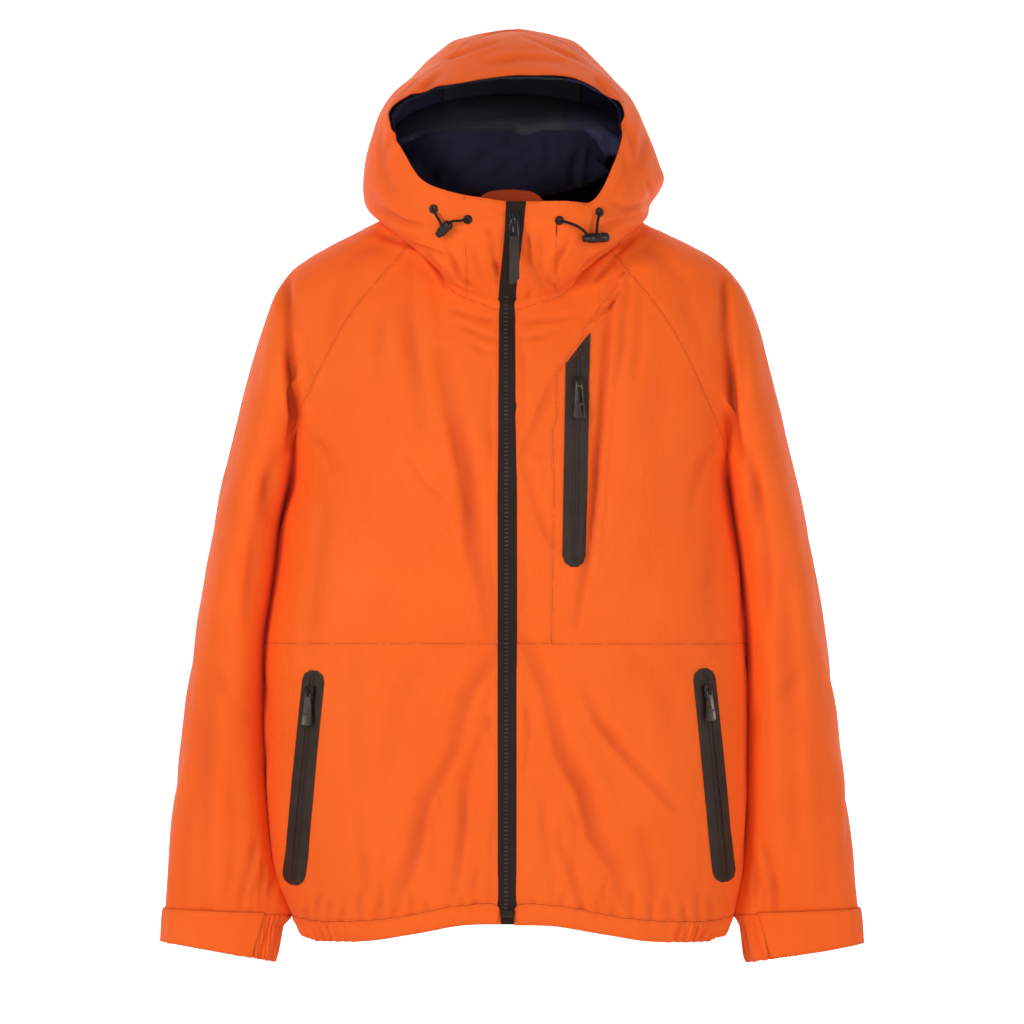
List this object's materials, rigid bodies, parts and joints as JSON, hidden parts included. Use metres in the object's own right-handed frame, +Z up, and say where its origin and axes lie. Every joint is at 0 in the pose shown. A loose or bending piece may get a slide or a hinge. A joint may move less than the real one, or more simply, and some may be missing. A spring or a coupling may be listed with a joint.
{
  "type": "hooded nylon jacket",
  "caption": "Hooded raglan-sleeved nylon shell jacket, zipped to the chin, filled out and hollow, with welded zip pockets, tabbed cuffs and an elastic hem.",
  "frame": {"origin": "between the wearer's shoulders, level with the highest point of the shoulder line, on the garment's middle plane", "axes": "+X to the wearer's left, +Y to the wearer's back, +Z up from hem to hood"},
  "size_m": [0.7044, 0.251, 0.9279],
  "materials": {
    "shell_orange": "matt woven nylon",
    "shell_orange_deep": "matt woven nylon in shade",
    "lining_navy": "matt knit lining",
    "lining_black": "matt lining",
    "zip_tape": "matt zip tape and teeth",
    "welded_band": "smooth matt coated film",
    "gunmetal": "dark coated metal",
    "pull_rubber": "matt moulded rubber",
    "cord_black": "braided elastic cord",
    "lock_plastic": "satin moulded plastic"
  },
  "bodies": {
    "garment": {"back": "shell_orange", "chin_guard": "shell_orange_deep", "collar_front_left": "shell_orange", "collar_front_right": "shell_orange", "cord_left": "cord_black", "cord_lock_left": "lock_plastic", "cord_lock_right": "lock_plastic", "cord_right": "cord_black", "cuff_left": "shell_orange", "cuff_right": "shell_orange", "cuff_tab_left": "shell_orange", "cuff_tab_right": "shell_orange", "eyelet_left_1": "gunmetal", "eyelet_left_2": "gunmetal", "eyelet_right_1": "gunmetal", "eyelet_right_2": "gunmetal", "front_inset": "shell_orange", "front_lower_left": "shell_orange", "front_lower_right": "shell_orange", "front_upper_left": "shell_orange", "front_upper_right": "shell_orange", "hem_back": "shell_orange", "hem_front_left": "shell_orange", "hem_front_right": "shell_orange", "hood_gusset": "shell_orange", "hood_left": "shell_orange", "hood_lining_centre": "lining_black", "hood_lining_left": "lining_navy", "hood_lining_right": "lining_navy", "hood_lining_roll": "lining_navy", "hood_right": "shell_orange", "main_zip_slider": "gunmetal", "main_zip_stop": "gunmetal", "main_zip_tape": "zip_tape", "pocket_chest_slider": "gunmetal", "pocket_chest_surround": "welded_band", "pocket_chest_zip": "zip_tape", "pocket_hand_left_slider": "gunmetal", "pocket_hand_left_surround": "welded_band", "pocket_hand_left_zip": "zip_tape", "pocket_hand_right_slider": "gunmetal", "pocket_hand_right_surround": "welded_band", "pocket_hand_right_zip": "zip_tape", "sleeve_left": "shell_orange", "sleeve_right": "shell_orange"},
    "main_zip_pull_tab": {"main_zip_pull": "pull_rubber"},
    "pocket_chest_pull_tab": {"pocket_chest_pull": "gunmetal"},
    "pocket_hand_left_pull_tab": {"pocket_hand_left_pull": "gunmetal"},
    "pocket_hand_right_pull_tab": {"pocket_hand_right_pull": "gunmetal"}
  },
  "joints": [
    {"name": "main_zip_pull_hinge", "type": "hinge", "parent": "garment", "child": "main_zip_pull_tab", "pos_m": [0.00331, -0.11782, 0.00167], "axis": [-1, -0.0057, 0], "range_deg": [0, 150]},
    {"name": "pocket_chest_pull_hinge", "type": "hinge", "parent": "garment", "child": "pocket_chest_pull_tab", "pos_m": [0.06742, -0.11563, -0.16139], "axis": [-0.9909, -0.1336, 0.0173], "range_deg": [0, 150]},
    {"name": "pocket_hand_left_pull_hinge", "type": "hinge", "parent": "garment", "child": "pocket_hand_left_pull_tab", "pos_m": [-0.20118, -0.08505, -0.47011], "axis": [-0.8439, 0.5306, 0.0789], "range_deg": [0, 150]},
    {"name": "pocket_hand_right_pull_hinge", "type": "hinge", "parent": "garment", "child": "pocket_hand_right_pull_tab", "pos_m": [0.19699, -0.0823, -0.46808], "axis": [-0.8134, -0.5762, -0.0798], "range_deg": [0, 150]}
  ]
}
